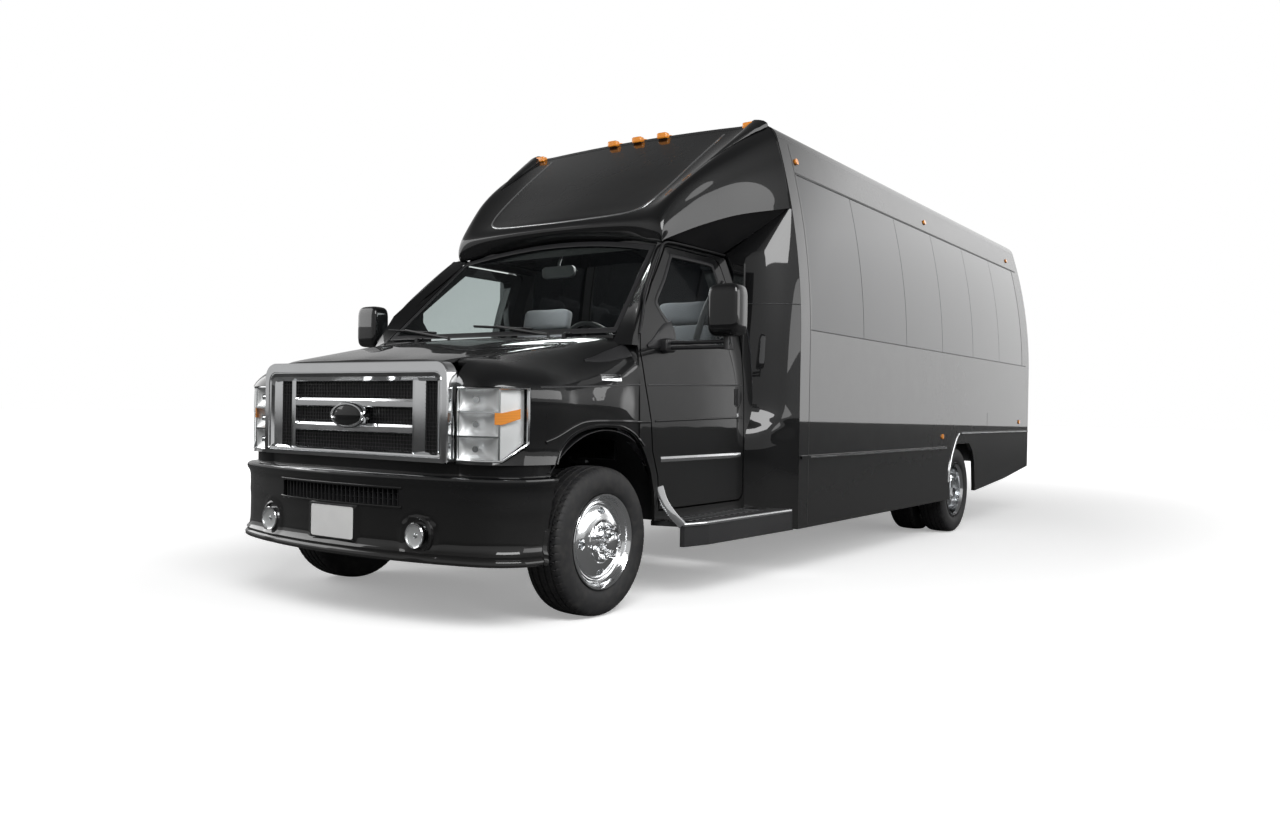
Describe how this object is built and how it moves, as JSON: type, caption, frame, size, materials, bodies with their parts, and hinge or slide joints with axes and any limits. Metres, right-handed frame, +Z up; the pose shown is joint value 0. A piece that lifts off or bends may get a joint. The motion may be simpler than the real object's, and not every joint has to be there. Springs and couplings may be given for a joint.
{
  "type": "minibus",
  "caption": "Long minibus with a hooded cab, a wider passenger body, hinged doors and hood, steered front wheels and twin rear wheels.",
  "frame": {"origin": "on the ground under the middle of the overall bounding box", "axes": "+Z up, -Y to the front of the vehicle, +X to its left (driver's) side"},
  "size_m": [2.884, 8.0578, 2.8565],
  "materials": {
    "gloss_black": "gloss",
    "black_trim": "satin",
    "chrome": "polished",
    "tinted_glass": "tinted",
    "clear_glass": "clear",
    "tyre": "matte",
    "chassis_black": "satin",
    "cast": "rough",
    "bright_steel": "brushed",
    "tread_aluminium": "satin",
    "seat_fabric": "woven",
    "floor_cover": "ribbed",
    "lamp_red": "gloss",
    "lamp_amber": "gloss",
    "interior_grey": "matte"
  },
  "bodies": {
    "vehicle": {"body_side_left": "gloss_black", "body_side_right": "gloss_black", "front_beams": "cast", "rear_axle": "cast", "frame_rails": "chassis_black", "cross_members": "chassis_black", "drive_shaft": "bright_steel", "engine_block": "cast", "fuel_tank": "chassis_black", "exhaust_pipe": "bright_steel", "headlamps": "clear_glass", "grille": "chrome", "front_bumper": "black_trim", "fog_lamps": "clear_glass", "cab_shell": "gloss_black", "windshield": "tinted_glass", "dashboard": "interior_grey", "cab_seats": "seat_fabric", "passenger_seats": "seat_fabric", "wipers": "black_trim", "running_boards": "tread_aluminium", "body_glass": "tinted_glass", "roof_panel": "gloss_black", "rear_wall": "gloss_black", "tail_lamps": "lamp_red", "rear_bumper": "black_trim", "body_floor": "floor_cover", "front_cap": "gloss_black", "fairings": "gloss_black", "marker_lamps": "lamp_amber"},
    "front_wheel_left": {"tyre_front_left": "tyre", "wheel_front_left": "chrome"},
    "front_wheel_right": {"tyre_front_right": "tyre", "wheel_front_right": "chrome"},
    "rear_wheels_left": {"tyres_rear_left": "tyre", "wheels_rear_left": "chrome"},
    "rear_wheels_right": {"tyres_rear_right": "tyre", "wheels_rear_right": "chrome"},
    "steer_knuckle_left": {"knuckle_left": "cast"},
    "steer_knuckle_right": {"knuckle_right": "cast"},
    "door_leaf_left": {"cab_door_left": "gloss_black", "door_glass_left": "tinted_glass", "mirror_left": "black_trim"},
    "door_leaf_right": {"cab_door_right": "gloss_black", "door_glass_right": "tinted_glass", "mirror_right": "black_trim"},
    "entry_leaf": {"entry_door": "gloss_black", "entry_glass": "tinted_glass"},
    "hood_lid": {"hood": "gloss_black"},
    "luggage_leaf_left": {"luggage_door_left": "gloss_black"},
    "luggage_leaf_right": {"luggage_door_right": "gloss_black"},
    "hand_wheel": {"steering_wheel": "black_trim"}
  },
  "joints": [
    {"name": "steer_left", "type": "hinge", "parent": "vehicle", "child": "steer_knuckle_left", "pos_m": [0.735, -3.161, 0.368], "axis": [0, 0, 1], "range_deg": [-35, 35]},
    {"name": "spin_front_left", "type": "hinge", "parent": "steer_knuckle_left", "child": "front_wheel_left", "pos_m": [0.8815, -3.161, 0.368], "axis": [1, 0, 0], "continuous": true},
    {"name": "spin_rear_left", "type": "hinge", "parent": "vehicle", "child": "rear_wheels_left", "pos_m": [0.938, 1.665, 0.368], "axis": [1, 0, 0], "continuous": true},
    {"name": "cab_door_left_hinge", "type": "hinge", "parent": "vehicle", "child": "door_leaf_left", "pos_m": [0.962, -2.901, 1.1], "axis": [0, 0, -1], "range_deg": [0, 65]},
    {"name": "luggage_door_left_hinge", "type": "hinge", "parent": "vehicle", "child": "luggage_leaf_left", "pos_m": [0.985, 3.9065, 1.1], "axis": [0, 0, -1], "range_deg": [0, 90]},
    {"name": "steer_right", "type": "hinge", "parent": "vehicle", "child": "steer_knuckle_right", "pos_m": [-0.735, -3.161, 0.368], "axis": [0, 0, 1], "range_deg": [-35, 35]},
    {"name": "spin_front_right", "type": "hinge", "parent": "steer_knuckle_right", "child": "front_wheel_right", "pos_m": [-0.8815, -3.161, 0.368], "axis": [1, 0, 0], "continuous": true},
    {"name": "spin_rear_right", "type": "hinge", "parent": "vehicle", "child": "rear_wheels_right", "pos_m": [-0.938, 1.665, 0.368], "axis": [1, 0, 0], "continuous": true},
    {"name": "cab_door_right_hinge", "type": "hinge", "parent": "vehicle", "child": "door_leaf_right", "pos_m": [-0.962, -2.901, 1.1], "axis": [0, 0, 1], "range_deg": [0, 65]},
    {"name": "luggage_door_right_hinge", "type": "hinge", "parent": "vehicle", "child": "luggage_leaf_right", "pos_m": [-0.985, 3.9065, 1.1], "axis": [0, 0, 1], "range_deg": [0, 90]},
    {"name": "entry_door_hinge", "type": "hinge", "parent": "vehicle", "child": "entry_leaf", "pos_m": [-1.2275, -1.336, 1], "axis": [0, 0, 1], "range_deg": [0, 85]},
    {"name": "hood_hinge", "type": "hinge", "parent": "vehicle", "child": "hood_lid", "pos_m": [0, -2.952, 1.411], "axis": [-1, 0, 0], "range_deg": [0, 60]},
    {"name": "steering_wheel_turn", "type": "hinge", "parent": "vehicle", "child": "hand_wheel", "pos_m": [0.43, -2.541, 1.33], "axis": [0, 0.8829, 0.4695], "range_deg": [-560, 560]}
  ],
  "couplings": [
    {"joint": "steer_right", "follows": "steer_left", "ratio": 1},
    {"joint": "steering_wheel_turn", "follows": "steer_left", "ratio": 16}
  ]
}
